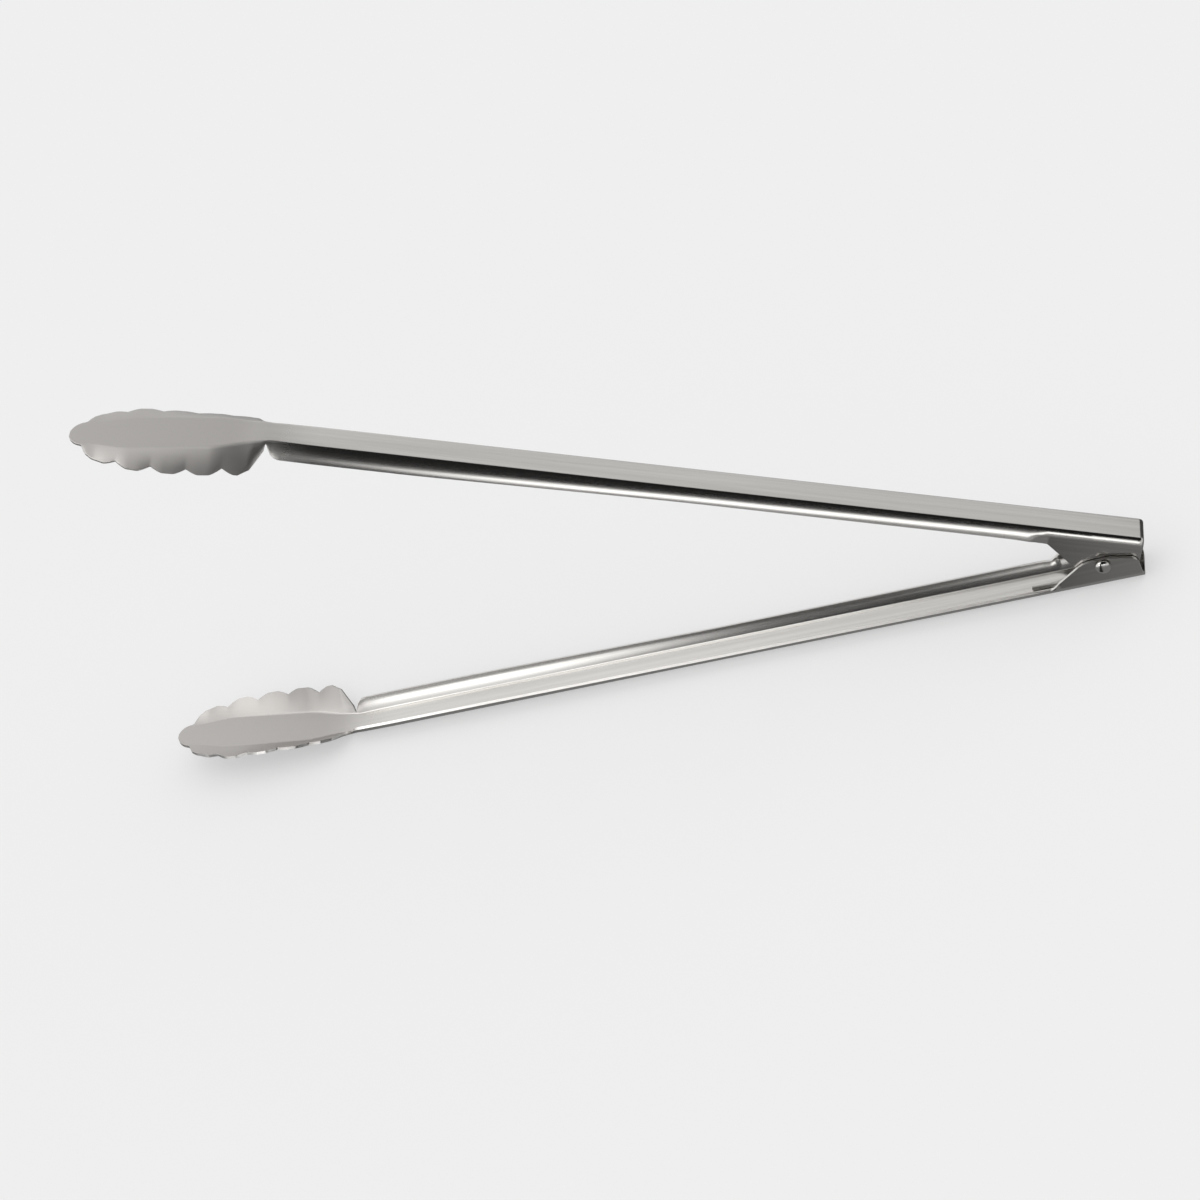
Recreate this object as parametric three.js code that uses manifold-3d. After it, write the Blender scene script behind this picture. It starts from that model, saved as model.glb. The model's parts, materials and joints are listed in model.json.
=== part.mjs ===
// Spring loaded kitchen tongs: two stamped stainless arms, a rivet and a torsion spring.
// Millimetres, +Z up. The lower arm lies along X with its flat back down and its head at -X.
import * as THREE from "three";
import { mergeVertices } from "three/addons/utils/BufferGeometryUtils.js";
import Module from "manifold-3d";

const wasm = await Module();
wasm.setup();

// Driving dimensions. "Station" means the distance along an arm from the pivot towards its tip.
const SHEET = 1.1; // thickness of the stamped sheet
const REACH = 391; // pivot axis to the tip of each head
const PIVOT_HEIGHT = 12.2; // pivot axis from the outer face of the lower arm's web
const UPPER_PIVOT_HEIGHT = 13.1; // the same for the upper arm
const OPEN_ANGLE = 25.6; // degrees between the arms at rest
const PIECE_GAP = 0.3; // clearance between neighbouring pieces

const WEB_WIDTH = 11; // flat back of the arm, corner to corner
const FLANGE_LENGTH = 5.9; // slanted side of the arm, from the corner
const NECK_FLANGE_LENGTH = 7.2; // the same next to the head
const FLANGE_ANGLE = 56; // degrees between the web and the side
const BEND_RADIUS = 0.8; // inside radius of the folds along the arm

const HEAD_LENGTH = 72; // neck slit to the tip
const HEAD_WIDTH = 16.5; // flat base of the head
const HEAD_WALL = 10.4; // slanted wall of the head, from the fold to the top of a lobe
const NECK_WALL_ANGLE = 38; // degrees between the head's base and its wall, next to the neck
const NOSE_WALL_ANGLE = 16; // the same next to the nose
const HEAD_BEND_RADIUS = 2; // inside radius of the fold in the head
const HEAD_DROP = 12.6; // how far the tip is set in towards the other arm
const NOSE_WIDTH = 11.4; // round end of the head
const LOBE_COUNT = 4; // whole scallops behind the one at the nose
const NECK_TO_LOBES = 12.1; // neck slit to the first notch between two scallops
const LOBES_TO_TIP = 19.7; // last notch to the tip
const LOBE_DEPTH = 2.2; // depth of the notch between two scallops
const NECK_WIDTH = 10.4; // web between the head and the sides of the arm

const OUTER_EARS_WIDTH = 17.4; // over the ears of the lower arm, which stand outside
const EAR_BEND_RADIUS = 1.2; // inside radius of the fold that turns a side upright into an ear
const EAR_MARGIN = 0.9; // sheet left beyond the rivet's hole in the ears of the lower arm
const INNER_EAR_MARGIN = 1.9; // the same in the ears of the upper arm
const EAR_CORNER = 8.1; // station where an ear's top edge ends
const EAR_FRONT = 22; // station where its sloping front edge ends
const HINGE_END = 13.2; // the arm goes on this far behind the pivot
const END_ROLL = 2; // radius of the upper web's rolled back end

const RIVET_RADIUS = 2;
const RIVET_HEAD_RADIUS = 3;
const RIVET_HEAD_HEIGHT = 1.9;

const WIRE_RADIUS = 0.75;
const COIL_PLAY = 1.55; // room between the rivet and the coil
const TURN_GAP = 0.15; // between neighbouring turns of the coil
const SPRING_LEG = 30; // station where each leg ends

const radians = THREE.MathUtils.degToRad;
const open = radians(OPEN_ANGLE);
const BORE_RADIUS = RIVET_RADIUS + PIECE_GAP;
const EAR_HEIGHT = PIVOT_HEIGHT + BORE_RADIUS + EAR_MARGIN;
const INNER_EAR_HEIGHT = UPPER_PIVOT_HEIGHT + BORE_RADIUS + INNER_EAR_MARGIN;
const INNER_EARS_WIDTH = OUTER_EARS_WIDTH - 2 * (SHEET + PIECE_GAP);
const NECK_STATION = REACH - HEAD_LENGTH;
const NOSE_START = REACH - NOSE_WIDTH / 2;
const LOBES_START = NECK_STATION + NECK_TO_LOBES;
const LOBES_END = REACH - LOBES_TO_TIP;
const LOBE_PITCH = (LOBES_END - LOBES_START) / (LOBE_COUNT - 1);

// The folds at the web and at the ear each take their tangents' length of the side.
const FOLD_TANGENTS =
  (BEND_RADIUS + SHEET) * Math.tan(radians(FLANGE_ANGLE) / 2) +
  (EAR_BEND_RADIUS + SHEET) * Math.tan((Math.PI / 2 - radians(FLANGE_ANGLE)) / 2);
const LEAST_FOLDS = 2 * (FOLD_TANGENTS + 0.1) * Math.cos(radians(FLANGE_ANGLE));

// The coil fills the room between the sides with whole turns and a half.
const COIL_RADIUS = RIVET_RADIUS + COIL_PLAY + WIRE_RADIUS; // centre of the wire
const TURN_PITCH = 2 * WIRE_RADIUS + TURN_GAP;
const coilRoom =
  Math.min(WEB_WIDTH - 2 * SHEET, INNER_EARS_WIDTH - 2 * (SHEET + PIECE_GAP)) - 2 * WIRE_RADIUS;
const COIL_TURNS = Math.max(0, Math.floor(coilRoom / TURN_PITCH - 0.5)) + 0.5;

// A value that follows [station, value] knots, in straight lines or eased between them.
function follow(knots, station, between = THREE.MathUtils.inverseLerp) {
  const last = knots.length - 1;
  if (station <= knots[0][0]) return knots[0][1];
  if (station >= knots[last][0]) return knots[last][1];
  const next = knots.findIndex(([at]) => at > station);
  const [from, low] = knots[next - 1];
  const [to, high] = knots[next];
  return low + (high - low) * between(from, to, station);
}

const eased = (from, to, station) => THREE.MathUtils.smoothstep(station, from, to);

// Width of the flat back, corner to corner. It narrows at the hinge only if the ears leave too
// little room for their folds.
function webWidth(station, earsWidth) {
  if (station > NOSE_START) {
    const along = Math.min(station, REACH - 0.15) - NOSE_START;
    return 2 * Math.sqrt((NOSE_WIDTH / 2) ** 2 - along ** 2);
  }
  const knots = [
    [EAR_FRONT, Math.min(WEB_WIDTH, earsWidth - LEAST_FOLDS)],
    [EAR_FRONT + 20, WEB_WIDTH],
    [NECK_STATION - 14, WEB_WIDTH],
    [NECK_STATION - 5, NECK_WIDTH],
    [NECK_STATION - 1, NECK_WIDTH + 0.6],
    [NECK_STATION + 18, HEAD_WIDTH],
    [REACH - 24, HEAD_WIDTH],
    [NOSE_START, NOSE_WIDTH],
  ];
  return follow(knots, station, eased);
}

// Angle between the back and the side, in radians.
function sideAngle(station) {
  const knots = [
    [NECK_STATION - 6, radians(FLANGE_ANGLE)],
    [NECK_STATION + 3, radians(NECK_WALL_ANGLE)],
    [NECK_STATION + 12, radians(NECK_WALL_ANGLE)],
    [REACH - 12, radians(NOSE_WALL_ANGLE)],
    [NOSE_START, radians(NOSE_WALL_ANGLE - 6)],
  ];
  return follow(knots, station, eased);
}

// How much of the fold from the side up to the ear there is: all of it along the ear.
function earShare(station) {
  const knots = [
    [EAR_FRONT, 1],
    [EAR_FRONT + 8, 0],
  ];
  return follow(knots, station, eased);
}

function bendRadius(station) {
  const knots = [
    [NECK_STATION - 4, BEND_RADIUS],
    [NECK_STATION + 8, HEAD_BEND_RADIUS],
  ];
  return follow(knots, station, eased);
}

// How far the web is set in towards the other arm: at the rolled back end, and along the head.
function setIn(station, rolled) {
  const past = -HINGE_END + 0.87 * END_ROLL - station;
  if (rolled && past > 0) return END_ROLL - Math.sqrt(END_ROLL ** 2 - past ** 2);
  const along = Math.max(0, station - (NECK_STATION - 8));
  const full = HEAD_LENGTH + 8;
  const ease = 10;
  const travel = along < ease ? along ** 2 / (2 * ease) : along - ease / 2;
  return (HEAD_DROP * travel) / (full - ease / 2);
}

// Scalloped wall of the head, from the fold.
function headWall(station) {
  const knots = [
    [NECK_STATION - 3, 1.3],
    [NECK_STATION - 2.5, 4],
    [NECK_STATION + 2, HEAD_WALL + 0.6],
    [NECK_STATION + 6, HEAD_WALL + 2.2],
    [LOBES_START, HEAD_WALL + 0.8],
    [LOBES_START + LOBE_PITCH, HEAD_WALL + 0.6],
    [LOBES_END - 8, HEAD_WALL - 0.9],
    [LOBES_END + 5, HEAD_WALL - 2.9],
    [LOBES_END + 9.5, HEAD_WALL - 3.9],
    [LOBES_END + 12, HEAD_WALL - 5.7],
    [LOBES_END + 13.4, 2.4],
    [LOBES_END + 14.2, 0.8],
    [REACH, 0.5],
  ];
  const phase = ((station - LOBES_START) * Math.PI) / LOBE_PITCH;
  const inLobes = station > LOBES_START - 5 && station < LOBES_END + 5;
  const notch = inLobes ? LOBE_DEPTH * (1 - Math.min(1, 1.15 * Math.abs(Math.sin(phase)))) : 0;
  return follow(knots, station) - notch;
}

// Length of the side from its corner, along the ears, the arm and the head.
function sideLength(station, ears) {
  if (station > NECK_STATION - 3) return headWall(station);
  const knots = [
    ...ears,
    [NECK_STATION / 2, FLANGE_LENGTH],
    [NECK_STATION - 60, NECK_FLANGE_LENGTH],
    [NECK_STATION - 8, NECK_FLANGE_LENGTH],
  ];
  const roundEnd = [
    [NECK_STATION - 6.4, NECK_FLANGE_LENGTH - 0.5],
    [NECK_STATION - 5, NECK_FLANGE_LENGTH - 1.8],
    [NECK_STATION - 4, NECK_FLANGE_LENGTH - 4],
    [NECK_STATION - 3.4, 1.5],
    [NECK_STATION - 3, 1.3],
  ];
  return follow([...knots, ...roundEnd], station);
}

// Half of a section, from the flat back out to the edge of the side, as [y, z] points. The sheet
// folds from the back into the slanted side and, along an ear, again until it stands upright.
// The inner skin is the same line moved in by the sheet's thickness.
const BEND_STEPS = 4;
const LEAST_SIDE = 0.25; // where the side is cut back to the fold
function halfSection(shape, inset) {
  const { width, length, angle, radius, share, earsWidth } = shape;
  const outerRadius = radius + SHEET;
  const tangent = Math.min(outerRadius * Math.tan(angle / 2), width / 2 - 0.1);
  const bendY = width / 2 - tangent;
  const points = [];
  const place = (y, z, slope) => {
    points.push([y - inset * Math.sin(slope), z + inset * Math.cos(slope)]);
  };
  for (let i = 0; i <= BEND_STEPS; i++) {
    const turn = (angle * i) / BEND_STEPS;
    place(bendY + outerRadius * Math.sin(turn), outerRadius * (1 - Math.cos(turn)), turn);
  }
  const endY = bendY + outerRadius * Math.sin(angle);
  const endZ = outerRadius * (1 - Math.cos(angle));

  const side = Math.max(length - tangent, LEAST_SIDE);
  const earRadius = EAR_BEND_RADIUS + SHEET;
  const earTurn = share * (Math.PI / 2 - angle);
  const corner = (earsWidth - width) / 2 / Math.cos(angle);
  const fold = corner - tangent - earRadius * Math.tan(earTurn / 2);
  const foldLength = earRadius * earTurn;
  const upright = share * THREE.MathUtils.smoothstep(side - fold - foldLength, 0.3, 2);
  const marks = [fold, fold + foldLength / 2, fold + foldLength, side];
  marks.forEach((mark, i) => {
    const along = THREE.MathUtils.lerp((side * (i + 1)) / marks.length, mark, upright);
    const straight = Math.min(along, fold);
    const folded = Math.min(along - straight, foldLength);
    const rest = along - straight - folded;
    const slope = angle + folded / earRadius;
    const arcY = earRadius * (Math.sin(slope) - Math.sin(angle));
    const arcZ = earRadius * (Math.cos(angle) - Math.cos(slope));
    place(
      endY + straight * Math.cos(angle) + arcY + rest * Math.cos(slope),
      endZ + straight * Math.sin(angle) + arcZ + rest * Math.sin(slope),
      slope,
    );
  });
  return points;
}

// A closed loop round the sheet at one station: the outer skin from one edge to the other, then
// the inner skin back.
function sheetLoop(station, arm) {
  const shape = {
    width: webWidth(station, arm.earsWidth),
    length: sideLength(station, arm.ears),
    angle: sideAngle(station),
    radius: bendRadius(station),
    share: earShare(station),
    earsWidth: arm.earsWidth,
  };
  const lift = setIn(station, arm.rolledEnd);
  const skin = (inset) => {
    const half = halfSection(shape, inset);
    const mirrored = half.map(([y, z]) => [-y, z]).reverse();
    return [...mirrored, ...half];
  };
  const loop = [...skin(0), ...skin(SHEET).reverse()];
  return loop.map(([y, z]) => new THREE.Vector3(-station, y, z + lift));
}

// One skin through equal loops, closed at both ends.
function loft(loops) {
  const count = loops[0].length;
  const half = count / 2;
  const vertices = loops.flat().flatMap((p) => [p.x, p.y, p.z]);
  const faces = [];
  const quad = (a, b, c, d) => faces.push(a, b, c, a, c, d);
  for (let j = 0; j + 1 < loops.length; j++) {
    for (let i = 0; i < count; i++) {
      const next = (i + 1) % count;
      const here = j * count;
      const there = here + count;
      quad(here + i, there + i, there + next, here + next);
    }
  }
  const lastLoop = (loops.length - 1) * count;
  for (let i = 0; i + 1 < half; i++) {
    const back = count - 1 - i;
    quad(i, i + 1, back - 1, back);
    quad(lastLoop + i + 1, lastLoop + i, lastLoop + back, lastLoop + back - 1);
  }
  const geometry = new THREE.BufferGeometry();
  geometry.setAttribute("position", new THREE.Float32BufferAttribute(vertices, 3));
  geometry.setIndex(faces);
  return geometry;
}

function solidOf(geometry) {
  const bare = geometry.clone();
  bare.deleteAttribute("normal");
  bare.deleteAttribute("uv");
  const merged = mergeVertices(bare, 1e-4);
  const mesh = new wasm.Mesh({
    numProp: 3,
    vertProperties: new Float32Array(merged.attributes.position.array),
    triVerts: new Uint32Array(merged.index.array),
  });
  return new wasm.Manifold(mesh);
}

function geometryOf(solid) {
  const mesh = solid.getMesh();
  const geometry = new THREE.BufferGeometry();
  geometry.setAttribute("position", new THREE.BufferAttribute(mesh.vertProperties, 3));
  geometry.setIndex(new THREE.BufferAttribute(mesh.triVerts, 1));
  geometry.computeVertexNormals();
  return geometry;
}

// Stations where sections are cut: close together where the outline turns.
function stationsBetween(from, to, step) {
  const count = Math.max(1, Math.round((to - from) / step));
  return Array.from({ length: count }, (_, i) => from + ((to - from) * i) / count);
}

function armStations() {
  const nose = [];
  for (let i = 0; i <= 6; i++) {
    const turn = (i * Math.PI) / 12;
    nose.push(NOSE_START + (NOSE_WIDTH / 2) * Math.sin(turn));
  }
  return [
    ...stationsBetween(-HINGE_END, -HINGE_END + 2, 0.4),
    ...stationsBetween(-HINGE_END + 2, -7, 0.8),
    ...stationsBetween(-7, EAR_FRONT - 10, 7),
    ...stationsBetween(EAR_FRONT - 10, EAR_FRONT + 12, 1),
    ...stationsBetween(EAR_FRONT + 12, NECK_STATION - 9, 32),
    ...stationsBetween(NECK_STATION - 9, NECK_STATION + 10, 0.95),
    ...stationsBetween(NECK_STATION + 10, LOBES_START, 1.8),
    ...stationsBetween(LOBES_START, LOBES_END, LOBE_PITCH / 8),
    ...stationsBetween(LOBES_END, NOSE_START, 1.2),
    ...nose,
  ];
}

// An ear's height above the web's outer face, as a length along the sheet.
function earLength(height, earsWidth) {
  const corner = (earsWidth - webWidth(0, earsWidth)) / 2 / Math.cos(radians(FLANGE_ANGLE));
  return height + corner * (1 - Math.sin(radians(FLANGE_ANGLE)));
}

// Sides of the lower arm: its ears stand outside the upper arm's.
const outerHeights = [
  [-HINGE_END, EAR_HEIGHT - 5],
  [-HINGE_END + 0.6, EAR_HEIGHT - 3.4],
  [-HINGE_END + 1.6, EAR_HEIGHT - 2.5],
  [-HINGE_END + 7, EAR_HEIGHT - 1],
  [-3.5, EAR_HEIGHT],
  [3.5, EAR_HEIGHT],
  [EAR_CORNER - 0.8, EAR_HEIGHT - 0.7],
  [EAR_CORNER + 0.8, EAR_HEIGHT - 1.6],
  [EAR_FRONT, 4.6],
];
const outerEars = [
  ...outerHeights.map(([at, height]) => [at, earLength(height, OUTER_EARS_WIDTH)]),
  [EAR_FRONT + 3, FLANGE_LENGTH],
];

// Sides of the upper arm: its ears run on from the sides and fit between the lower arm's. At rest
// their back corners stand just off the lower arm's sides, which stops the arms opening further.
const STOP_STATION = -HINGE_END + 2;
const flangeAngle = radians(FLANGE_ANGLE);
const lowerSide =
  ((INNER_EARS_WIDTH - WEB_WIDTH) / 2) * Math.tan(flangeAngle) +
  (SHEET + PIECE_GAP) / Math.cos(flangeAngle);
const stopDrop = (PIVOT_HEIGHT - lowerSide + STOP_STATION * Math.sin(open)) / Math.cos(open);
const STOP_HEIGHT = UPPER_PIVOT_HEIGHT + stopDrop;
const innerHeights = [
  [-HINGE_END, STOP_HEIGHT - 3],
  [STOP_STATION - 0.7, STOP_HEIGHT - 0.8],
  [STOP_STATION, STOP_HEIGHT - 0.3],
  [STOP_STATION + 3, STOP_HEIGHT + 0.4],
  [-3.5, INNER_EAR_HEIGHT - 0.3],
  [0, INNER_EAR_HEIGHT],
  [EAR_CORNER + 1, INNER_EAR_HEIGHT],
  [EAR_CORNER + 3.5, INNER_EAR_HEIGHT - 1],
  [EAR_CORNER + 6, INNER_EAR_HEIGHT - 3.4],
  [EAR_FRONT - 3, 9.6],
];
const innerEars = [
  ...innerHeights.map(([at, height]) => [at, earLength(height, INNER_EARS_WIDTH)]),
  [EAR_FRONT, FLANGE_LENGTH + 1.6],
  [EAR_FRONT + 5, FLANGE_LENGTH + 0.4],
  [EAR_FRONT + 14, FLANGE_LENGTH],
];

function pivotBore(height) {
  const length = 3 * OUTER_EARS_WIDTH;
  const drill = new THREE.CylinderGeometry(BORE_RADIUS, BORE_RADIUS, length, 40);
  drill.translate(0, 0, height);
  return solidOf(drill);
}

function armGeometry(arm) {
  const loops = armStations().map((station) => sheetLoop(station, arm));
  const blank = solidOf(loft(loops));
  return geometryOf(blank.subtract(pivotBore(arm.pivotHeight)));
}

// Domed head, shank and flat clinched tail, turned about the pivot axis.
function rivetGeometry() {
  const seat = OUTER_EARS_WIDTH / 2 + PIECE_GAP;
  const dome = [];
  for (let i = 0; i <= 6; i++) {
    const turn = (i * Math.PI) / 12;
    dome.push(
      new THREE.Vector2(
        RIVET_HEAD_RADIUS * Math.sin(turn),
        -seat - RIVET_HEAD_HEIGHT * Math.cos(turn),
      ),
    );
  }
  const tail = RIVET_HEAD_HEIGHT * 0.6;
  const profile = [
    ...dome,
    new THREE.Vector2(RIVET_RADIUS, -seat),
    new THREE.Vector2(RIVET_RADIUS, seat),
    new THREE.Vector2(RIVET_HEAD_RADIUS - 0.1, seat),
    new THREE.Vector2(RIVET_HEAD_RADIUS - 0.1, seat + tail * 0.5),
    new THREE.Vector2(RIVET_HEAD_RADIUS - 0.8, seat + tail),
    new THREE.Vector2(0, seat + tail),
  ];
  return new THREE.LatheGeometry(profile, 32);
}

// One leg, from its end on the web back to where it meets the coil above or below the rivet.
function springLeg(side, offset, upwards) {
  const joint = COIL_RADIUS + 2.2;
  return [
    new THREE.Vector3(-SPRING_LEG, side, upwards * offset),
    new THREE.Vector3(-SPRING_LEG + 7, side, upwards * offset),
    new THREE.Vector3(-SPRING_LEG + 11, side, upwards * (offset - 0.6)),
    new THREE.Vector3(-COIL_RADIUS - 4, side, upwards * joint),
  ];
}

// The spring's wire: a leg on the lower web, the coil round the rivet, a leg on the upper web.
function springGeometry() {
  const side = (COIL_TURNS * TURN_PITCH) / 2;
  const offWeb = SHEET + PIECE_GAP + WIRE_RADIUS;
  const points = springLeg(-side, PIVOT_HEIGHT - offWeb, -1);
  const steps = Math.round(COIL_TURNS * 22);
  const sweep = 2 * Math.PI * COIL_TURNS + open;
  for (let i = 0; i <= steps; i++) {
    const turn = Math.PI / 2 + (sweep * i) / steps;
    points.push(
      new THREE.Vector3(
        -COIL_RADIUS * Math.cos(turn),
        side * ((2 * i) / steps - 1),
        -COIL_RADIUS * Math.sin(turn),
      ),
    );
  }
  const axis = new THREE.Vector3(0, 1, 0);
  const upperLeg = springLeg(side, UPPER_PIVOT_HEIGHT - offWeb, 1).reverse();
  points.push(...upperLeg.map((point) => point.applyAxisAngle(axis, open)));
  const curve = new THREE.CatmullRomCurve3(points, false, "centripetal");
  const section = new THREE.Shape();
  section.absarc(0, 0, WIRE_RADIUS, 0, 2 * Math.PI);
  return new THREE.ExtrudeGeometry(section, {
    steps: 150,
    curveSegments: 4,
    extrudePath: curve,
    bevelEnabled: false,
  });
}

const stainless = (color, roughness) =>
  new THREE.MeshStandardMaterial({ color, roughness, metalness: 1 });

function named(name, geometry, material) {
  const mesh = new THREE.Mesh(geometry, material);
  mesh.name = name;
  return mesh;
}

const lowerArm = named(
  "lower_arm",
  armGeometry({
    earsWidth: OUTER_EARS_WIDTH,
    ears: outerEars,
    rolledEnd: false,
    pivotHeight: PIVOT_HEIGHT,
  }),
  stainless("#b9b9b7", 0.35),
);

const upperShape = armGeometry({
  earsWidth: INNER_EARS_WIDTH,
  ears: innerEars,
  rolledEnd: true,
  pivotHeight: UPPER_PIVOT_HEIGHT,
});
upperShape.translate(0, 0, -UPPER_PIVOT_HEIGHT);
upperShape.rotateX(Math.PI);
const upperArm = named("upper_arm", upperShape, stainless("#b9b9b7", 0.35));
upperArm.position.z = PIVOT_HEIGHT;
upperArm.rotation.y = open;

const rivet = named("pivot_rivet", rivetGeometry(), stainless("#cfcfcd", 0.2));
rivet.position.z = PIVOT_HEIGHT;

const spring = named("torsion_spring", springGeometry(), stainless("#a8a8a6", 0.3));
spring.position.z = PIVOT_HEIGHT;

const tongs = new THREE.Group();
tongs.add(lowerArm, upperArm, rivet, spring);

// The origin is under the middle of the open tongs, on the surface that they stand on.
const extent = new THREE.Box3().setFromObject(tongs, true);
const middle = extent.getCenter(new THREE.Vector3());
tongs.position.set(-middle.x, -middle.y, -extent.min.z);

export default tongs;
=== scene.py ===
"""Looks for the spring loaded kitchen tongs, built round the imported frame."""

import json
import math

import bmesh
import bpy
from mathutils import Matrix, Vector


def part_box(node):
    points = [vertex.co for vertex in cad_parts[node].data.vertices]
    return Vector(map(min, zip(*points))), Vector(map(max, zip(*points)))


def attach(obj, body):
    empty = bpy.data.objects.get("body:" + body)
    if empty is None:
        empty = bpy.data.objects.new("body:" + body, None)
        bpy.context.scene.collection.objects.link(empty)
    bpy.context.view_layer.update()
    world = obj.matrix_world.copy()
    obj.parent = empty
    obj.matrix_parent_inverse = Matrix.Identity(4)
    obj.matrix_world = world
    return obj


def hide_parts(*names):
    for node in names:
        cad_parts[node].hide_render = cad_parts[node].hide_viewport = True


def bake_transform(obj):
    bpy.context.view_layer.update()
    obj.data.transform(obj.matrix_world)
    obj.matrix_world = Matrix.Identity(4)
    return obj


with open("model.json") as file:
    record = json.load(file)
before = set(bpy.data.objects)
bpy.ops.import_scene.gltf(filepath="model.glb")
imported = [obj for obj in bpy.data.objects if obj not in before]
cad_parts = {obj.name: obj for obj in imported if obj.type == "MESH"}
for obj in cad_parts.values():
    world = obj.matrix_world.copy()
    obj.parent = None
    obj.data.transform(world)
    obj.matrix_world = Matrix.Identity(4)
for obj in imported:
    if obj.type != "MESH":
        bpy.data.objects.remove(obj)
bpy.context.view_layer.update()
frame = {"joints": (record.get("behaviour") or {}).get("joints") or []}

# ---------------------------------------------------------------- sizes

# Sizes are millimetres and stations are distances along an arm from the pivot towards its tip.
MM = 0.001
PIVOT = Vector(frame["joints"][0]["pos_m"])
PIVOT_HEIGHT = PIVOT.z / MM  # from the outer face of the lower arm's web
UPPER_PIVOT_HEIGHT = PIVOT_HEIGHT + 0.9  # the same for the upper arm
OPEN_ANGLE = math.radians(25.6)  # between the arms at rest
REACH = (PIVOT.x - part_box("lower_arm")[0].x) / MM  # pivot to the tip of a head
HINGE_END = (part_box("lower_arm")[1].x - PIVOT.x) / MM  # the arm goes on this far behind the pivot
SHEET = 1.1  # thickness of the sheet
PIECE_GAP = 0.3  # between neighbouring pieces

WEB_WIDTH = 11.0  # flat back of the arm, corner to corner
FLANGE_LENGTH = 5.9  # slanted side, from the corner
NECK_FLANGE_LENGTH = 7.2  # the same next to the head
FLANGE_ANGLE = math.radians(56)  # between the web and the side
BEND_RADIUS = 0.8  # inside radius of the folds along the arm
SIDE_CURL = math.radians(24)  # how much the side is rounded over its width
HEAD_CURL = math.radians(11)  # the same in the head

HEAD_LENGTH = 72.0  # neck slit to the tip
HEAD_WIDTH = 16.5  # flat base of the head
HEAD_WALL = 10.4  # slanted wall, from the fold to the top of a lobe
NECK_WALL_ANGLE = math.radians(38)  # between the base and the wall, next to the neck
NOSE_WALL_ANGLE = math.radians(16)  # the same next to the nose
HEAD_BEND_RADIUS = 2.6  # inside radius of the fold in the head
HEAD_DROP = 12.6  # how far the tip is set in towards the other arm
NOSE_WIDTH = 11.4  # round end of the head
NECK_WIDTH = 10.4  # web between the head and the sides
LOBE_COUNT = 4  # whole scallops behind the one at the nose
LOBE_DEPTH = 2.2  # depth of a notch between two scallops
NECK_TO_LOBES = 12.1  # neck slit to the first notch
LOBES_TO_TIP = 19.7  # last notch to the tip

OUTER_EARS_WIDTH = 17.4  # over the ears of the lower arm
INNER_EARS_WIDTH = OUTER_EARS_WIDTH - 2 * (SHEET + PIECE_GAP)
EAR_BEND_RADIUS = 1.2  # inside radius of the fold that turns a side upright
EAR_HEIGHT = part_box("lower_arm")[1].z / MM
INNER_EAR_HEIGHT = UPPER_PIVOT_HEIGHT + 4.2
EAR_CORNER = 8.1  # station where an ear's top edge ends
EAR_FRONT = 22.0  # station where its sloping front edge ends
EAR_FADE = 8.0  # run over which its fold opens out into the slanted side
END_ROLL = 2.0  # radius of the upper web's rolled back end

RIVET_RADIUS = 2.0
BORE_RADIUS = RIVET_RADIUS + PIECE_GAP
RIVET_HEAD_RADIUS = 3.0
RIVET_HEAD_HEIGHT = 1.9
RIVET_TAIL_HEIGHT = 1.1

WIRE_RADIUS = 0.75
COIL_RADIUS = 4.3  # centre of the wire
COIL_TURNS = 3.5
TURN_PITCH = 1.65
SPRING_LEG = 30.0  # station where each leg ends

NECK = REACH - HEAD_LENGTH
NOSE_START = REACH - NOSE_WIDTH / 2
LOBES_START = NECK + NECK_TO_LOBES
LOBES_END = REACH - LOBES_TO_TIP
LOBE_PITCH = (LOBES_END - LOBES_START) / (LOBE_COUNT - 1)


# ---------------------------------------------------------------- small helpers

def smooth(share):
    return share * share * (3 - 2 * share)


def follow(knots, station, eased=False):
    """A value that follows (station, value) knots, in straight lines or eased between them."""
    if station <= knots[0][0]:
        return knots[0][1]
    for (start, low), (end, high) in zip(knots, knots[1:]):
        if station < end:
            share = (station - start) / (end - start)
            return low + (high - low) * (smooth(share) if eased else share)
    return knots[-1][1]


def spread(start, end, step):
    """Stations from start up to but not including end, about a step apart."""
    count = max(1, round((end - start) / step))
    return [start + (end - start) * i / count for i in range(count)]


def piece_from(name, build, *materials):
    """A mesh piece in the row frame, from a bmesh that is filled by build."""
    shell = bmesh.new()
    build(shell)
    mesh = bpy.data.meshes.new(name)
    shell.to_mesh(mesh)
    shell.free()
    piece = bpy.data.objects.new(name, mesh)
    bpy.context.scene.collection.objects.link(piece)
    for material in materials:
        mesh.materials.append(material)
    mesh.shade_smooth()
    return piece


def apply_modifiers(piece):
    """Makes the piece's modifiers part of its mesh."""
    graph = bpy.context.evaluated_depsgraph_get()
    done = bpy.data.meshes.new_from_object(piece.evaluated_get(graph))
    piece.modifiers.clear()
    piece.data = done


# ---------------------------------------------------------------- materials

def colour(code):
    """Linear colour from an sRGB hex value."""
    parts = [int(code[i:i + 2], 16) / 255 for i in (1, 3, 5)]
    linear = [c / 12.92 if c <= 0.04045 else ((c + 0.055) / 1.055) ** 2.4 for c in parts]
    return (*linear, 1.0)


def add(tree, kind, links=(), **settings):
    """A node with its settings, and links as (own input, other node, other output)."""
    node = tree.nodes.new(kind)
    for name, value in settings.items():
        if hasattr(node, name):
            setattr(node, name, value)
        else:
            node.inputs[name.replace("_", " ")].default_value = value
    for target, source, output in links:
        tree.links.new(source.outputs[output], node.inputs[target])
    return node


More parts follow.
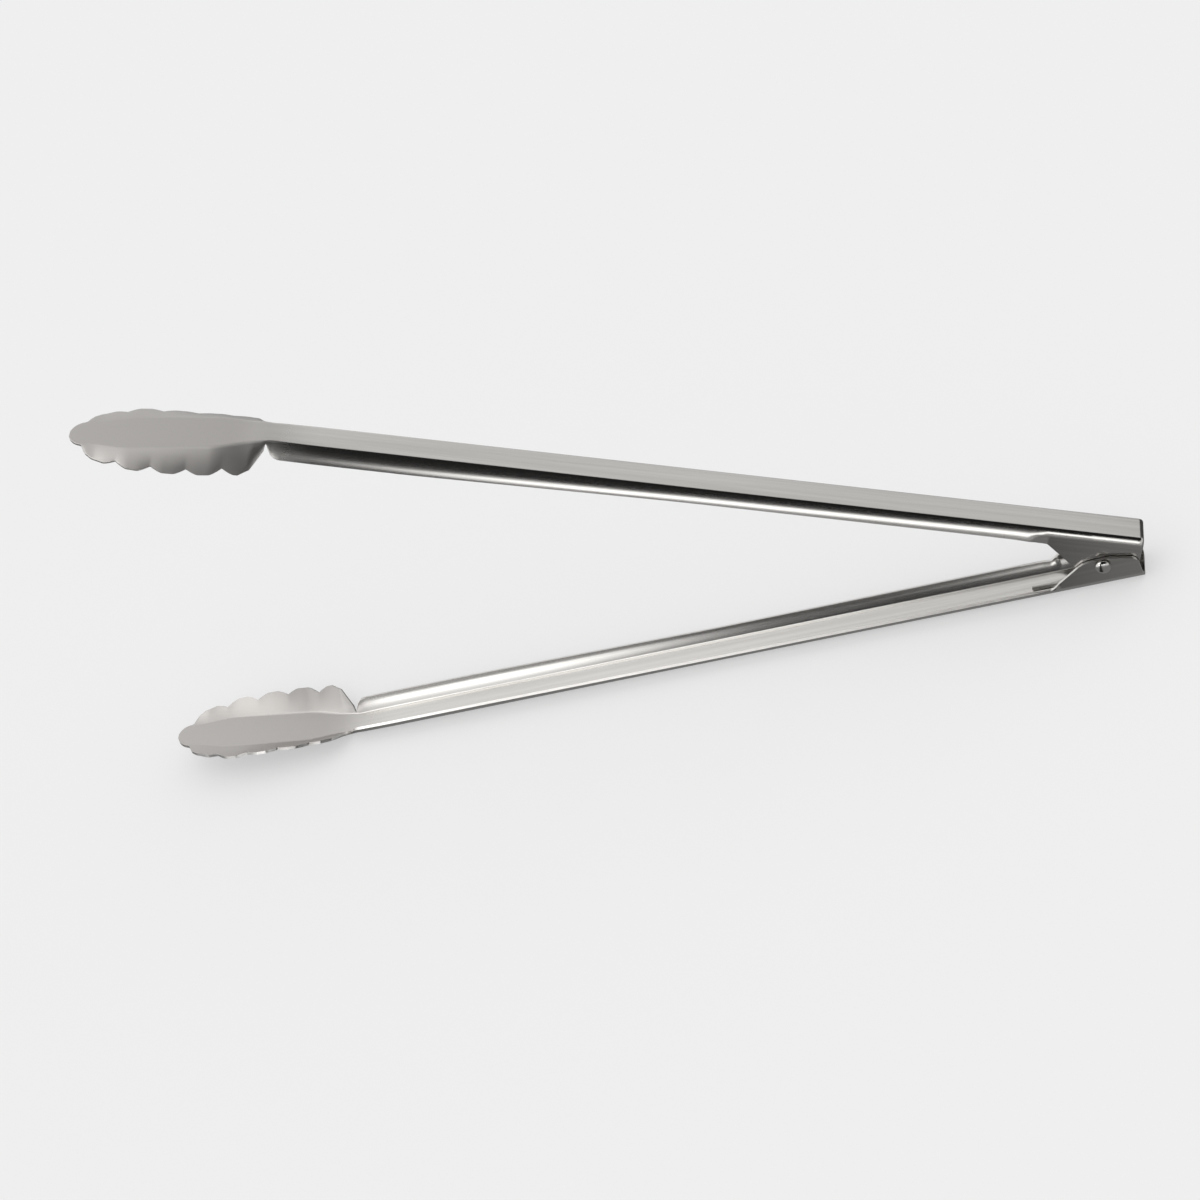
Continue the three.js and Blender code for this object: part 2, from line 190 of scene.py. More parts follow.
def new_material(name, base, metallic, roughness):
    material = bpy.data.materials.new(name)
    material.use_nodes = True
    shader = material.node_tree.nodes["Principled BSDF"]
    shader.inputs["Base Color"].default_value = colour(base)
    shader.inputs["Metallic"].default_value = metallic
    shader.inputs["Roughness"].default_value = roughness
    return material, material.node_tree, shader


def ramp_of(tree, source, output, stops):
    """A colour ramp over another node's value, from (place, hex colour) stops."""
    ramp = add(tree, "ShaderNodeValToRGB", [("Fac", source, output)])
    elements = ramp.color_ramp.elements
    while len(elements) < len(stops):
        elements.new(0.5)
    for element, (place, code) in zip(elements, stops):
        element.position = place
        element.color = colour(code)
    return ramp


def stretched_noise(tree, across_mm, along_mm, detail=2.0):
    """Noise drawn out along a sheet or wire: UV is metres along it and metres round it."""
    place = add(tree, "ShaderNodeTexCoord")
    scale = (1000 / along_mm, 1000 / across_mm, 1)
    stretch = add(tree, "ShaderNodeMapping", [("Vector", place, "UV")], Scale=scale)
    links = [("Vector", stretch, "Vector")]
    return add(tree, "ShaderNodeTexNoise", links, Scale=1.0, Detail=detail)


def rolled_stainless():
    """18/8 stainless sheet, rolled bright, pressed, with the heads tumbled satin.

    Along the arm it shows long soft reflections with fine rolling lines. The head is duller.
    """
    material, tree, shader = new_material("rolled_stainless_sheet", "#d3d1ce", 1.0, 0.2)
    # Rolling lines are about 0.05 mm apart, which is too fine to show, so they are drawn at 0.5 mm.
    lines = stretched_noise(tree, across_mm=0.5, along_mm=60)
    streaks = stretched_noise(tree, across_mm=2.5, along_mm=110)
    arm_tint = ramp_of(tree, streaks, "Fac", [(0.3, "#cccac6"), (0.7, "#d8d6d3")])
    place = add(tree, "ShaderNodeTexCoord")
    split = add(tree, "ShaderNodeSeparateXYZ", [("Vector", place, "UV")])
    head = add(
        tree, "ShaderNodeMapRange", [("Value", split, "X")], interpolation_type="SMOOTHSTEP",
        From_Min=(NECK - 25) * MM, From_Max=(NECK + 12) * MM,
    )
    # A colour mix node has its two colours in sockets 6 and 7 and its result in socket 2.
    tint = add(
        tree, "ShaderNodeMix", [("Factor", head, "Result"), (6, arm_tint, "Color")],
        data_type="RGBA",
    )
    tint.inputs[7].default_value = colour("#b6b3b0")
    tree.links.new(tint.outputs[2], shader.inputs["Base Color"])

    satin = add(
        tree, "ShaderNodeMapRange", [("Value", head, "Result")], To_Min=0.15, To_Max=0.40,
    )
    uneven = add(
        tree, "ShaderNodeMath", [(0, lines, "Fac"), (2, satin, "Result")],
        operation="MULTIPLY_ADD",
    )
    uneven.inputs[1].default_value = 0.08
    tree.links.new(uneven.outputs["Value"], shader.inputs["Roughness"])

    # The pressed sheet is slightly wavy every 14 mm or so, which bends its reflections.
    waves = stretched_noise(tree, across_mm=14, along_mm=60, detail=1.0)
    wavy = add(
        tree, "ShaderNodeBump", [("Height", waves, "Fac")], Strength=0.03, Distance=0.0012,
    )
    brushed = add(
        tree, "ShaderNodeBump", [("Height", lines, "Fac"), ("Normal", wavy, "Normal")],
        Strength=0.07, Distance=0.0001,
    )
    tree.links.new(brushed.outputs["Normal"], shader.inputs["Normal"])
    return material


def sheared_edge():
    """The sheet's cut edge, sheared and tumbled: brighter, with fine marks across the thickness."""
    material, tree, shader = new_material("sheared_stainless_edge", "#dddbd8", 1.0, 0.3)
    # Shear marks follow each other every 0.6 mm or so along the edge.
    marks = stretched_noise(tree, across_mm=3, along_mm=0.6)
    bump = add(
        tree, "ShaderNodeBump", [("Height", marks, "Fac")], Strength=0.25, Distance=0.00008,
    )
    tree.links.new(bump.outputs["Normal"], shader.inputs["Normal"])
    return material


def polished_rivet():
    """Stainless rivet, headed cold and left bright: small mirror-like highlights, faint dents."""
    material, tree, shader = new_material("bright_stainless_rivet", "#d9d7d4", 1.0, 0.14)
    place = add(tree, "ShaderNodeTexCoord")
    # Dents from the setting tool are about 0.8 mm across.
    dents = add(
        tree, "ShaderNodeTexNoise", [("Vector", place, "Object")], Scale=1000 / 0.8, Detail=1.0,
    )
    rough = add(
        tree, "ShaderNodeMapRange", [("Value", dents, "Fac")], To_Min=0.10, To_Max=0.24,
    )
    tree.links.new(rough.outputs["Result"], shader.inputs["Roughness"])
    bump = add(
        tree, "ShaderNodeBump", [("Height", dents, "Fac")], Strength=0.15, Distance=0.0001,
    )
    tree.links.new(bump.outputs["Normal"], shader.inputs["Normal"])
    return material


def drawn_wire():
    """Hard-drawn stainless spring wire: greyer than the sheet, with die lines along the wire."""
    material, tree, shader = new_material("drawn_stainless_wire", "#b5b3b0", 1.0, 0.3)
    lines = stretched_noise(tree, across_mm=0.25, along_mm=20)
    tint = ramp_of(tree, lines, "Fac", [(0.3, "#a3a19e"), (0.7, "#c2c0bd")])
    tree.links.new(tint.outputs["Color"], shader.inputs["Base Color"])
    bump = add(
        tree, "ShaderNodeBump", [("Height", lines, "Fac")], Strength=0.2, Distance=0.00004,
    )
    tree.links.new(bump.outputs["Normal"], shader.inputs["Normal"])
    return material


# ---------------------------------------------------------------- the pressed arms

class Arm:
    """What differs between the two pressings."""

    def __init__(self, ears_width, ears, rolled_end, pivot_height):
        self.ears_width = ears_width
        self.ears = ears
        self.rolled_end = rolled_end
        self.pivot_height = pivot_height


def web_width(station):
    if station > NOSE_START:
        along = min(station, REACH - 0.15) - NOSE_START
        return 2 * math.sqrt((NOSE_WIDTH / 2) ** 2 - along ** 2)
    knots = [
        (NECK - 14, WEB_WIDTH),
        (NECK - 5, NECK_WIDTH),
        (NECK - 1, NECK_WIDTH + 0.6),
        (NECK + 18, HEAD_WIDTH),
        (REACH - 24, HEAD_WIDTH),
        (NOSE_START, NOSE_WIDTH),
    ]
    return follow(knots, station, eased=True)


def side_angle(station):
    knots = [
        (NECK - 6, FLANGE_ANGLE),
        (NECK + 3, NECK_WALL_ANGLE),
        (NECK + 12, NECK_WALL_ANGLE),
        (REACH - 12, NOSE_WALL_ANGLE),
        (NOSE_START, NOSE_WALL_ANGLE - math.radians(6)),
    ]
    return follow(knots, station, eased=True)


def ear_share(station):
    """How much of the fold from the side up to the ear there is: all of it along the ear."""
    return follow([(EAR_FRONT, 1), (EAR_FRONT + EAR_FADE, 0)], station, eased=True)


def side_curl(station):
    """How much the slanted side is rounded between its fold and its edge."""
    return follow([(NECK - 8, SIDE_CURL), (NECK, HEAD_CURL)], station, eased=True)


def bend_radius(station):
    return follow([(NECK - 4, BEND_RADIUS), (NECK + 8, HEAD_BEND_RADIUS)], station, eased=True)


def set_in(station, rolled_end):
    """How far the web is set in towards the other arm, at a rolled back end and along the head."""
    past = -HINGE_END + 0.87 * END_ROLL - station
    if rolled_end and past > 0:
        return END_ROLL - math.sqrt(END_ROLL ** 2 - past ** 2)
    along = max(0.0, station - (NECK - 8))
    ease = 10
    travel = along ** 2 / (2 * ease) if along < ease else along - ease / 2
    return HEAD_DROP * travel / (HEAD_LENGTH + 8 - ease / 2)


def head_wall(station):
    """Length of the head's scalloped wall from the fold."""
    knots = [
        (NECK - 3, 1.3),
        (NECK - 2.5, 4),
        (NECK + 2, HEAD_WALL + 0.6),
        (NECK + 6, HEAD_WALL + 2.2),
        (LOBES_START, HEAD_WALL + 0.8),
        (LOBES_START + LOBE_PITCH, HEAD_WALL + 0.6),
        (LOBES_END - 8, HEAD_WALL - 0.9),
        (LOBES_END + 5, HEAD_WALL - 2.9),
        (LOBES_END + 9.5, HEAD_WALL - 3.9),
        (LOBES_END + 12, HEAD_WALL - 5.7),
        (LOBES_END + 13.4, 2.4),
        (LOBES_END + 14.2, 0.8),
        (REACH, 0.5),
    ]
    notch = 0.0
    if LOBES_START - 5 < station < LOBES_END + 5:
        turn = (station - LOBES_START) * math.pi / LOBE_PITCH
        notch = LOBE_DEPTH * (1 - min(1, 1.15 * abs(math.sin(turn))))
    return follow(knots, station) - notch


def side_length(station, ears):
    if station > NECK - 3:
        return head_wall(station)
    knots = [
        *ears,
        (NECK / 2, FLANGE_LENGTH),
        (NECK - 60, NECK_FLANGE_LENGTH),
        (NECK - 8, NECK_FLANGE_LENGTH),
        (NECK - 6.4, NECK_FLANGE_LENGTH - 0.5),
        (NECK - 5, NECK_FLANGE_LENGTH - 1.8),
        (NECK - 4, NECK_FLANGE_LENGTH - 4),
        (NECK - 3.4, 1.5),
        (NECK - 3, 1.3),
    ]
    return follow(knots, station)


BEND_STEPS = 8
FOLD_STEPS = 5
LEAST_SIDE = 0.25  # where the side is cut back to its fold
# Over this range of height above the fold an ear's points move into the fold.
EAR_RISE_START = 0.3
EAR_RISE_END = 2.0
INNER_SKIN_SHIFT = 60  # keeps the inner skin's pattern apart from the outer skin's


def side_marks(side, fold, fold_length, upright):
    """Distances along the side where the section has points: crowded into the ear's fold."""
    marks = [fold / 2]
    marks += [fold + fold_length * k / FOLD_STEPS for k in range(FOLD_STEPS + 1)]
    marks += [(fold + fold_length + side) / 2, side]
    even = [side * (i + 1) / len(marks) for i in range(len(marks))]
    return [plain + (mark - plain) * upright for plain, mark in zip(even, marks)]


def half_section(station, arm):
    """(y, z, slope, distance) points of the outer skin, from the web out to the side's edge."""
    width = web_width(station)
    angle = side_angle(station)
    curl = side_curl(station)
    outer = bend_radius(station) + SHEET
    tangent = min(outer * math.tan(angle / 2), width / 2 - 0.1)
    points = []
    for i in range(BEND_STEPS + 1):
        turn = (angle - curl / 2) * i / BEND_STEPS
        y = width / 2 - tangent + outer * math.sin(turn)
        z = outer * (1 - math.cos(turn))
        points.append((y, z, turn, width / 2 - tangent + outer * turn))

    y, z, slope, distance = points[-1]
    share = ear_share(station)
    side = max(side_length(station, arm.ears) - tangent, LEAST_SIDE)
    radius = EAR_BEND_RADIUS + SHEET
    ear_turn = share * (math.pi / 2 - angle - curl / 2)
    corner = (arm.ears_width - width) / 2 / math.cos(angle)
    fold = corner - tangent - radius * math.tan(ear_turn / 2)
    fold_length = max(radius * ear_turn, 1e-6)
    rise = (side - fold - fold_length - EAR_RISE_START) / (EAR_RISE_END - EAR_RISE_START)
    upright = share * smooth(min(1, max(0, rise)))
    slanted = side + (fold - side) * upright
    travelled = 0.0
    for mark in side_marks(side, fold, fold_length, upright):
        folded = min(1, max(0, (mark - fold) / fold_length))
        ahead = angle + curl * (min(1, mark / slanted) - 0.5) + ear_turn * folded
        run = mark - travelled
        y += run * math.cos((slope + ahead) / 2)
        z += run * math.sin((slope + ahead) / 2)
        slope, travelled = ahead, mark
        points.append((y, z, slope, distance + travelled))
    return points


def sheet_loop(station, arm):
    """A closed loop round the sheet: outer skin, then inner skin back, as (point, uv) pairs."""
    half = half_section(station, arm)
    lift = set_in(station, arm.rolled_end)
    loop = []
    for inset in (0, SHEET):
        moved = [
            (y - inset * math.sin(slope), z + inset * math.cos(slope), distance)
            for y, z, slope, distance in half
        ]
        skin = [(-y, z, -distance) for y, z, distance in reversed(moved)] + moved
        if inset:
            skin.reverse()
        offset = INNER_SKIN_SHIFT * MM if inset else 0
        for y, z, distance in skin:
            point = Vector((-station, y, z + lift)) * MM
            loop.append((point, (station * MM, distance * MM + offset)))
    return loop


def arm_stations():
    nose = [NOSE_START + NOSE_WIDTH / 2 * math.sin(i * math.pi / 24) for i in range(13)]
    return [
        *spread(-HINGE_END, -HINGE_END + 2, 0.2),
        *spread(-HINGE_END + 2, -7, 0.5),
        *spread(-7, EAR_CORNER - 2, 2),
        *spread(EAR_CORNER - 2, EAR_FRONT + 12, 0.4),
        *spread(EAR_FRONT + 12, NECK - 9, 12),
        *spread(NECK - 9, NECK + 10, 0.5),
        *spread(NECK + 10, LOBES_START, 1.2),
        *spread(LOBES_START, LOBES_END, LOBE_PITCH / 20),
        *spread(LOBES_END, NOSE_START, 0.7),
        *nose,
    ]


def ear_length(height, ears_width):
    """An ear's height above the web's outer face, as a length along the sheet."""
    corner = (ears_width - WEB_WIDTH) / 2 / math.cos(FLANGE_ANGLE)
    return height + corner * (1 - math.sin(FLANGE_ANGLE))


# Heights of the ears along their top edges.
OUTER_HEIGHTS = [
    (-HINGE_END, EAR_HEIGHT - 5),
    (-HINGE_END + 0.6, EAR_HEIGHT - 3.4),
    (-HINGE_END + 1.6, EAR_HEIGHT - 2.5),
    (-HINGE_END + 7, EAR_HEIGHT - 1),
    (-3.5, EAR_HEIGHT - 0.1),
    (3.5, EAR_HEIGHT - 0.1),
    (EAR_CORNER - 0.8, EAR_HEIGHT - 0.7),
    (EAR_CORNER + 0.8, EAR_HEIGHT - 1.6),
    (EAR_FRONT, 4.6),
]
OUTER_EARS = [(at, ear_length(height, OUTER_EARS_WIDTH)) for at, height in OUTER_HEIGHTS]
OUTER_EARS += [(EAR_FRONT + 3, FLANGE_LENGTH)]

# The upper ears' back corners stand just off the lower sides: the stop that ends the opening.
STOP_STATION = -HINGE_END + 2
LOWER_SIDE = (INNER_EARS_WIDTH - WEB_WIDTH) / 2 * math.tan(FLANGE_ANGLE) + (
    SHEET + PIECE_GAP
) / math.cos(FLANGE_ANGLE)
STOP_HEIGHT = UPPER_PIVOT_HEIGHT + (
    PIVOT_HEIGHT - LOWER_SIDE + STOP_STATION * math.sin(OPEN_ANGLE)
) / math.cos(OPEN_ANGLE)
INNER_HEIGHTS = [
    (-HINGE_END, STOP_HEIGHT - 3),
    (STOP_STATION - 0.7, STOP_HEIGHT - 0.8),
    (STOP_STATION, STOP_HEIGHT - 0.3),
    (STOP_STATION + 3, STOP_HEIGHT + 0.4),
    (-3.5, INNER_EAR_HEIGHT - 0.3),
    (0, INNER_EAR_HEIGHT),
    (EAR_CORNER + 1, INNER_EAR_HEIGHT),
    (EAR_CORNER + 3.5, INNER_EAR_HEIGHT - 1),
    (EAR_CORNER + 6, INNER_EAR_HEIGHT - 3.4),
    (EAR_FRONT - 3, 9.6),
]
INNER_EARS = [(at, ear_length(height, INNER_EARS_WIDTH)) for at, height in INNER_HEIGHTS]
INNER_EARS += [
    (EAR_FRONT, FLANGE_LENGTH + 1.6),
    (EAR_FRONT + 5, FLANGE_LENGTH + 0.4),
    (EAR_FRONT + 14, FLANGE_LENGTH),
]

LOWER = Arm(OUTER_EARS_WIDTH, OUTER_EARS, False, PIVOT_HEIGHT)
UPPER = Arm(INNER_EARS_WIDTH, INNER_EARS, True, UPPER_PIVOT_HEIGHT)
SKIN_SLOT, EDGE_SLOT = 0, 1


def fill_arm(shell, arm):
    """The arm's sheet as one closed skin, with its cut edges in a slot of their own."""
    layer = shell.loops.layers.uv.new("sheet")
    rings = [sheet_loop(station, arm) for station in arm_stations()]
    verts = [[shell.verts.new(point) for point, _ in ring] for ring in rings]
    count = len(rings[0])
    half = count // 2

    def face(corners, slot):
        made = shell.faces.new([verts[j][i] for j, i in corners])
        made.material_index = slot
        for loop, (j, i) in zip(made.loops, corners):
            loop[layer].uv = rings[j][i][1]

    for j in range(len(rings) - 1):
        for i in range(count):
            after = (i + 1) % count
            slot = EDGE_SLOT if i in (half - 1, count - 1) else SKIN_SLOT
            face([(j, i), (j + 1, i), (j + 1, after), (j, after)], slot)
    last = len(rings) - 1
    for i in range(half - 1):
        back = count - 1 - i
        face([(0, i), (0, i + 1), (0, back - 1), (0, back)], EDGE_SLOT)
        face([(last, i + 1), (last, i), (last, back), (last, back - 1)], EDGE_SLOT)


def drill_bore(piece, height):
    """Cuts the rivet's hole through both ears."""
    def fill(shell):
        bmesh.ops.create_cone(
            shell, cap_ends=True, segments=48, radius1=BORE_RADIUS * MM, radius2=BORE_RADIUS * MM,
            depth=3 * OUTER_EARS_WIDTH * MM, matrix=Matrix.Rotation(math.pi / 2, 4, "X"),
        )

    drill = piece_from("drill", fill)
    drill.location.z = height * MM
    cut = piece.modifiers.new("bore", "BOOLEAN")
    cut.operation = "DIFFERENCE"
    cut.solver = "EXACT"
    cut.object = drill
    bpy.context.view_layer.update()
    apply_modifiers(piece)
    bpy.data.objects.remove(drill)


def round_edges(piece, width, segments, limit):
    """Takes the sharpness off cut edges, as tumbling does, and keeps flats looking flat."""
    bevel = piece.modifiers.new("tumbled_edges", "BEVEL")
    bevel.width = width * MM
    bevel.segments = segments
    bevel.limit_method = "ANGLE"
    bevel.angle_limit = math.radians(limit)
    flats = piece.modifiers.new("flats", "WEIGHTED_NORMAL")
    flats.keep_sharp = True
    apply_modifiers(piece)


def make_arm(name, arm, sheet, edge, place):
    piece = piece_from(name, lambda shell: fill_arm(shell, arm), sheet, edge)
    drill_bore(piece, arm.pivot_height)
    round_edges(piece, width=0.22, segments=2, limit=50)
    piece.data.transform(place)
    return piece


def make_arms():
    sheet = rolled_stainless()
    edge = sheared_edge()
    at_pivot = Matrix.Translation(Vector((PIVOT.x, PIVOT.y, 0)))
    lower = make_arm("lower_arm_pressing", LOWER, sheet, edge, at_pivot)
    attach(lower, "lower")
    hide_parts("lower_arm")

    turned = (
        Matrix.Translation(PIVOT)
        @ Matrix.Rotation(OPEN_ANGLE, 4, "Y")
        @ Matrix.Rotation(math.pi, 4, "X")
        @ Matrix.Translation(Vector((0, 0, -UPPER_PIVOT_HEIGHT * MM)))
    )
    upper = make_arm("upper_arm_pressing", UPPER, sheet, edge, turned)
    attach(upper, "upper")
    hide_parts("upper_arm")


# ---------------------------------------------------------------- the rivet

def arc_points(centre, radius, start, end, steps):
    """(radius, y) points of an arc in the rivet's profile; angles in degrees."""
    points = []
    for i in range(steps + 1):
        turn = math.radians(start + (end - start) * i / steps)
        points.append((centre[0] + radius * math.cos(turn), centre[1] + radius * math.sin(turn)))
    return points


def rivet_profile():
    """Domed head, shank, and a clinched tail with a rolled rim round a dimple."""
    seat = OUTER_EARS_WIDTH / 2 + PIECE_GAP
    brim = 0.35
    dome = []
    for i in range(15):
        turn = math.pi / 2 * i / 14
        rise = (RIVET_HEAD_HEIGHT - brim) * math.cos(turn)
        dome.append((RIVET_HEAD_RADIUS * math.sin(turn), -seat - brim - rise))
    roll = RIVET_TAIL_HEIGHT / 2
    rim = RIVET_HEAD_RADIUS - 0.1 - roll
    return [
        *dome,
        (RIVET_HEAD_RADIUS, -seat - 0.12),
        (RIVET_HEAD_RADIUS - 0.12, -seat),
        (RIVET_RADIUS, -seat),
        (RIVET_RADIUS, seat),
        *arc_points((rim, seat + roll), roll, -90, 150, 14),
        (rim - roll - 0.25, seat + 0.25),
        (0, seat + 0.15),
    ]


def fill_rivet(shell):
    profile = rivet_profile()
    segments = 64
    rings = []
    for radius, y in profile:
        if radius < 1e-6:
            rings.append([shell.verts.new((0, y * MM, 0))])
            continue
        turns = [2 * math.pi * k / segments for k in range(segments)]
        ring = [(radius * math.cos(t) * MM, y * MM, radius * math.sin(t) * MM) for t in turns]
        rings.append([shell.verts.new(point) for point in ring])
    for one, two in zip(rings, rings[1:]):
        for k in range(segments):
            after = (k + 1) % segments
            corners = [one[k % len(one)], one[after % len(one)]]
            corners += [two[after % len(two)], two[k % len(two)]]
            shell.faces.new(list(dict.fromkeys(corners)))
    bmesh.ops.recalc_face_normals(shell, faces=shell.faces)


def make_rivet():
    rivet = piece_from("hinge_rivet", fill_rivet, polished_rivet())
    rivet.data.set_sharp_from_angle(angle=math.radians(60))
    rivet.location = PIVOT
    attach(rivet, "lower")
    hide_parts("pivot_rivet")


# ---------------------------------------------------------------- the spring

def spring_leg(side, offset, upwards):
    """From the leg's end on the web back to where it meets the coil."""
    return [
        Vector((-SPRING_LEG, side, upwards * offset)),
        Vector((-SPRING_LEG + 7, side, upwards * offset)),
        Vector((-SPRING_LEG + 11, side, upwards * (offset - 0.6))),
        Vector((-COIL_RADIUS - 4, side, upwards * (COIL_RADIUS + 2.2))),
    ]


def spring_line():
    """Points along the wire's centre: leg on the lower web, coil, leg on the upper web."""
    side = COIL_TURNS * TURN_PITCH / 2
    off_web = SHEET + PIECE_GAP + WIRE_RADIUS
    points = spring_leg(-side, PIVOT_HEIGHT - off_web, -1)
    steps = round(COIL_TURNS * 22)
    sweep = 2 * math.pi * COIL_TURNS + OPEN_ANGLE
    for i in range(steps + 1):
        turn = math.pi / 2 + sweep * i / steps
        y = side * (2 * i / steps - 1)
        points.append(Vector((-COIL_RADIUS * math.cos(turn), y, -COIL_RADIUS * math.sin(turn))))
    lean = Matrix.Rotation(OPEN_ANGLE, 3, "Y")
    upper = spring_leg(side, UPPER_PIVOT_HEIGHT - off_web, 1)
    points += [lean @ point for point in reversed(upper)]
    return points


def rounded_line(points, steps):
    """A smooth line through points, steps to each stretch (centripetal Catmull-Rom)."""
    ends = [2 * points[0] - points[1], *points, 2 * points[-1] - points[-2]]
    line = []
    for a, b, c, d in zip(ends, ends[1:], ends[2:], ends[3:]):
        t1 = (b - a).length ** 0.5
        t2 = t1 + (c - b).length ** 0.5
        t3 = t2 + (d - c).length ** 0.5
        count = max(1, min(steps, round((c - b).length / 0.5)))
        for i in range(count):
            t = t1 + (t2 - t1) * i / count
            p = a.lerp(b, t / t1)
            q = b.lerp(c, (t - t1) / (t2 - t1))
            r = c.lerp(d, (t - t2) / (t3 - t2))
            s = p.lerp(q, t / t2)
            u = q.lerp(r, (t - t1) / (t3 - t1))
            line.append(s.lerp(u, (t - t1) / (t2 - t1)))
    line.append(points[-1])
    return line


def fill_wire(shell):
    """Sweeps a round section along the spring's line, with rounded ends."""
    layer = shell.loops.layers.uv.new("wire")
    line = rounded_line(spring_line(), 12)
    sides = 16
    normal = (line[1] - line[0]).orthogonal().normalized()
    rings, lengths, travelled = [], [], 0.0
    for index, centre in enumerate(line):
        before = line[max(index - 1, 0)]
        after = line[min(index + 1, len(line) - 1)]
        ahead = (after - before).normalized()
        normal = (normal - ahead * normal.dot(ahead)).normalized()
        across = ahead.cross(normal)
        travelled += (centre - before).length
        lengths.append(travelled)
        ring = []
        for k in range(sides):
            turn = 2 * math.pi * k / sides
            out = normal * math.cos(turn) + across * math.sin(turn)
            ring.append(shell.verts.new((centre + out * WIRE_RADIUS) * MM))
        rings.append(ring)
    round_step = 2 * math.pi * WIRE_RADIUS / sides * MM
    for j in range(len(rings) - 1):
        for k in range(sides):
            after = (k + 1) % sides
            corners = [rings[j][k], rings[j][after], rings[j + 1][after], rings[j + 1][k]]
            made = shell.faces.new(corners)
            marks = [(j, k), (j, k + 1), (j + 1, k + 1), (j + 1, k)]
            for loop, (row, step) in zip(made.loops, marks):
                loop[layer].uv = (lengths[row] * MM, step * round_step)
    shell.faces.new(list(reversed(rings[0])))
    shell.faces.new(rings[-1])
    bmesh.ops.recalc_face_normals(shell, faces=shell.faces)


def make_spring():
    spring = piece_from("spring_wire", fill_wire, drawn_wire())
    round_edges(spring, width=0.2, segments=3, limit=60)
    spring.data.transform(Matrix.Translation(PIVOT))
    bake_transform(spring)
    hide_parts("torsion_spring")


# ---------------------------------------------------------------- studio

VIEW_AZIMUTH = math.radians(24.615)
VIEW_ELEVATION = math.radians(40.80)
VIEW_ROLL = math.radians(-28.55)
VIEW_DISTANCE = 1.2
VIEW_LENS = 95.7
# Where the pivot lies from the middle of the view, to the right and up, in metres.
PIVOT_RIGHT = 0.18898
PIVOT_UP = 0.01897


def make_camera():
    back = Vector((
        math.sin(VIEW_AZIMUTH) * math.cos(VIEW_ELEVATION),
        -math.cos(VIEW_AZIMUTH) * math.cos(VIEW_ELEVATION),
        math.sin(VIEW_ELEVATION),
    ))
    level = Vector((math.cos(VIEW_AZIMUTH), math.sin(VIEW_AZIMUTH), 0))
    right = Matrix.Rotation(VIEW_ROLL, 3, back) @ level
    up = back.cross(right)
    data = bpy.data.cameras.new("camera")
    data.sensor_width = 36
    data.lens = VIEW_LENS
    camera = bpy.data.objects.new("camera", data)
    place = PIVOT + back * VIEW_DISTANCE - right * PIVOT_RIGHT - up * PIVOT_UP
    turn = Matrix((right, up, back)).transposed().to_4x4()
    camera.matrix_world = Matrix.Translation(place) @ turn
    bpy.context.scene.collection.objects.link(camera)
    bpy.context.scene.camera = camera


def make_floor():
    def fill(shell):
        bmesh.ops.create_grid(shell, x_segments=1, y_segments=1, size=6)

    # The floor glows a little, like a lit table, so that its shadows stay faint.
    material, tree, shader = new_material("pale_matt_floor", "#b4b4b4", 0.0, 0.9)
    shader.inputs["Specular IOR Level"].default_value = 0.0
    shader.inputs["Emission Color"].default_value = colour("#ffffff")
    shader.inputs["Emission Strength"].default_value = 0.43
    floor = piece_from("floor", fill, material)
    floor.location.z = -0.0002
    floor.visible_glossy = False


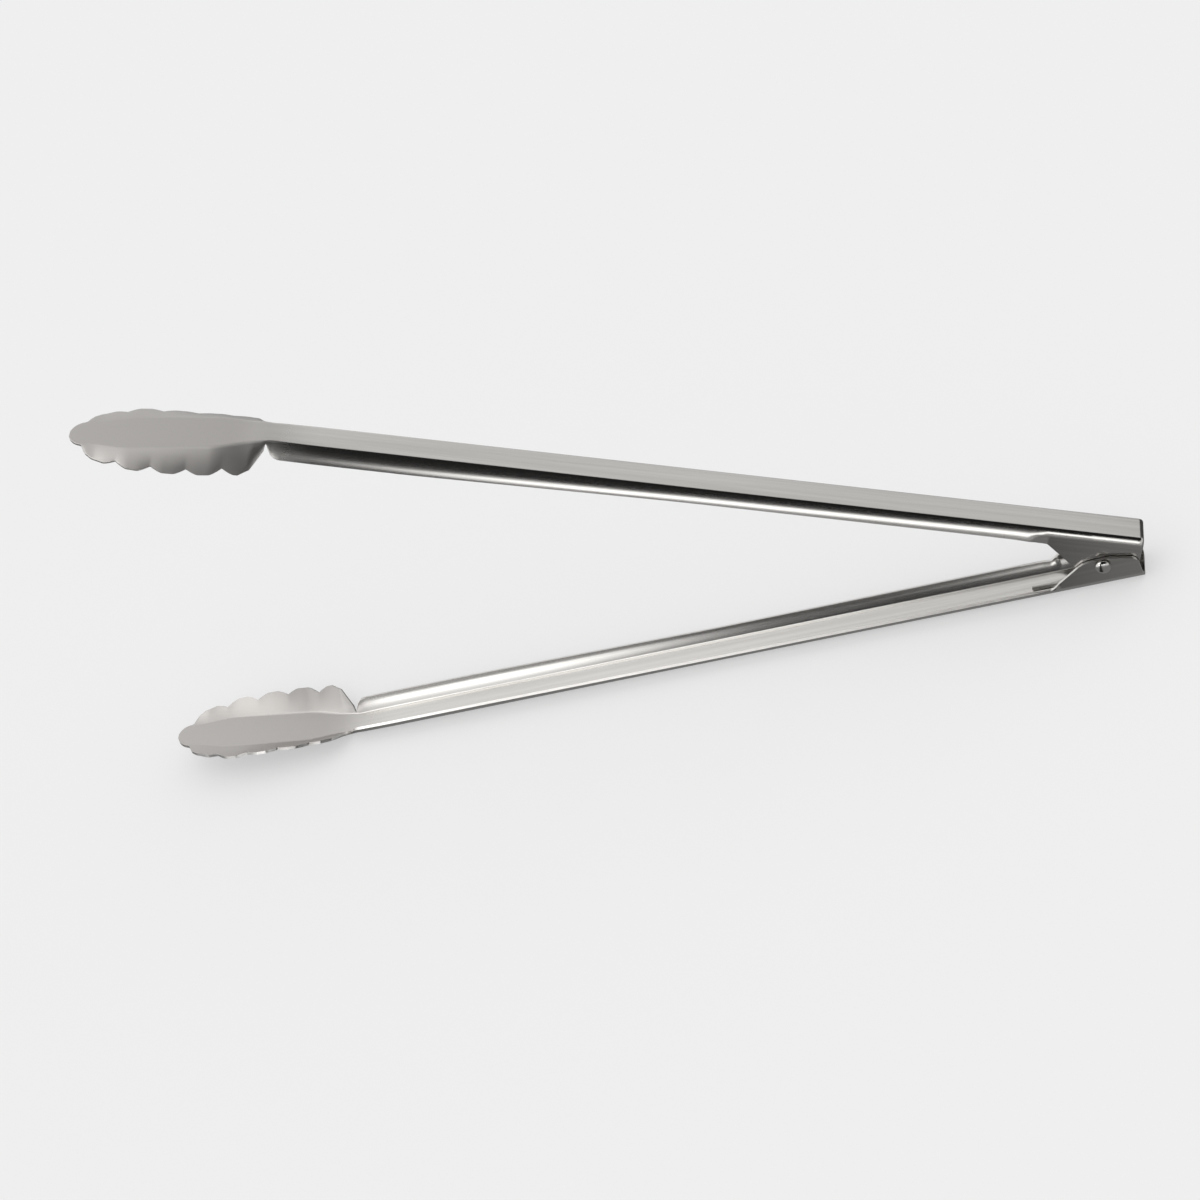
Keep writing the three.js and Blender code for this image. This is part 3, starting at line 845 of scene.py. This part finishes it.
def make_surround():
    """Studio walls that only reflections see: pale behind, black and white screens around."""
    def fill(shell):
        bmesh.ops.create_uvsphere(shell, u_segments=48, v_segments=32, radius=1.0)

    material = bpy.data.materials.new("studio_surround")
    material.use_nodes = True
    tree = material.node_tree
    tree.nodes.clear()
    place = add(tree, "ShaderNodeTexCoord")
    split = add(tree, "ShaderNodeSeparateXYZ", [("Vector", place, "Object")])

    def band(axis, start, end):
        """0 before start and 1 after end along an axis."""
        return add(
            tree, "ShaderNodeMapRange", [("Value", split, axis)], interpolation_type="SMOOTHSTEP",
            From_Min=start, From_Max=end,
        )

    def mix(level, value, *masks):
        """Level changed to value where every mask is 1."""
        mask = masks[0]
        for other in masks[1:]:
            links = [(0, mask, 0), (1, other, 0)]
            mask = add(tree, "ShaderNodeMath", links, operation="MULTIPLY")
        blend = add(tree, "ShaderNodeMix", [("Factor", mask, 0)])
        if isinstance(level, float):
            blend.inputs[2].default_value = level
        else:
            tree.links.new(level.outputs[0], blend.inputs[2])
        blend.inputs[3].default_value = value
        return blend

    # Behind: pale, brighter to the left. Below: the dim table.
    level = mix(0.74, 1.0, band("X", 0.05, -0.35))
    level = mix(level, 0.22, band("Z", -0.02, -0.25))
    # Behind and to the right: a dark screen, which the rolled back end reflects.
    level = mix(
        level, 0.01, band("X", 0.48, 0.58), band("Y", 0.45, 0.60), band("Z", 0.42, 0.30),
        band("Z", -0.50, -0.35),
    )
    # In front: a low white strip between a grey one and the dark.
    level = mix(level, 0.30, band("Y", -0.75, -0.92), band("Z", 0.20, 0.10), band("Z", -0.2, 0))
    level = mix(level, 2.4, band("Y", -0.70, -0.85), band("Z", 0.12, 0.20))
    # In front and to the left: dark, then white further left.
    level = mix(
        level, 0.02, band("Y", -0.20, -0.45), band("X", -0.38, -0.26), band("X", 0.06, -0.08),
    )
    # Overhead: black to the right, white to the left.
    level = mix(level, 0.01, band("Y", 0.50, 0.40), band("X", -0.10, 0.02), band("Z", 0.28, 0.38))
    level = mix(
        level, 2.3, band("X", -0.10, -0.20), band("Y", 0.40, 0.25), band("Y", -0.45, -0.25),
        band("Z", 0.50, 0.70),
    )
    glow = add(tree, "ShaderNodeEmission", [("Strength", level, 0)])
    add(tree, "ShaderNodeOutputMaterial", [("Surface", glow, 0)])

    surround = piece_from("studio_surround", fill, material)
    surround.location = (0, 0, 0.08)
    surround.visible_camera = False
    surround.visible_diffuse = False
    surround.visible_shadow = False
    surround.visible_transmission = False


def make_light():
    """Even white light from all round."""
    world = bpy.data.worlds.new("studio")
    world.use_nodes = True
    world.node_tree.nodes["Background"].inputs["Color"].default_value = (1, 1, 1, 1)
    world.node_tree.nodes["Background"].inputs["Strength"].default_value = 0.95
    bpy.context.scene.world = world
    bpy.context.scene.view_settings.view_transform = "Standard"


make_camera()
make_arms()
make_rivet()
make_spring()
make_floor()
make_surround()
make_light()
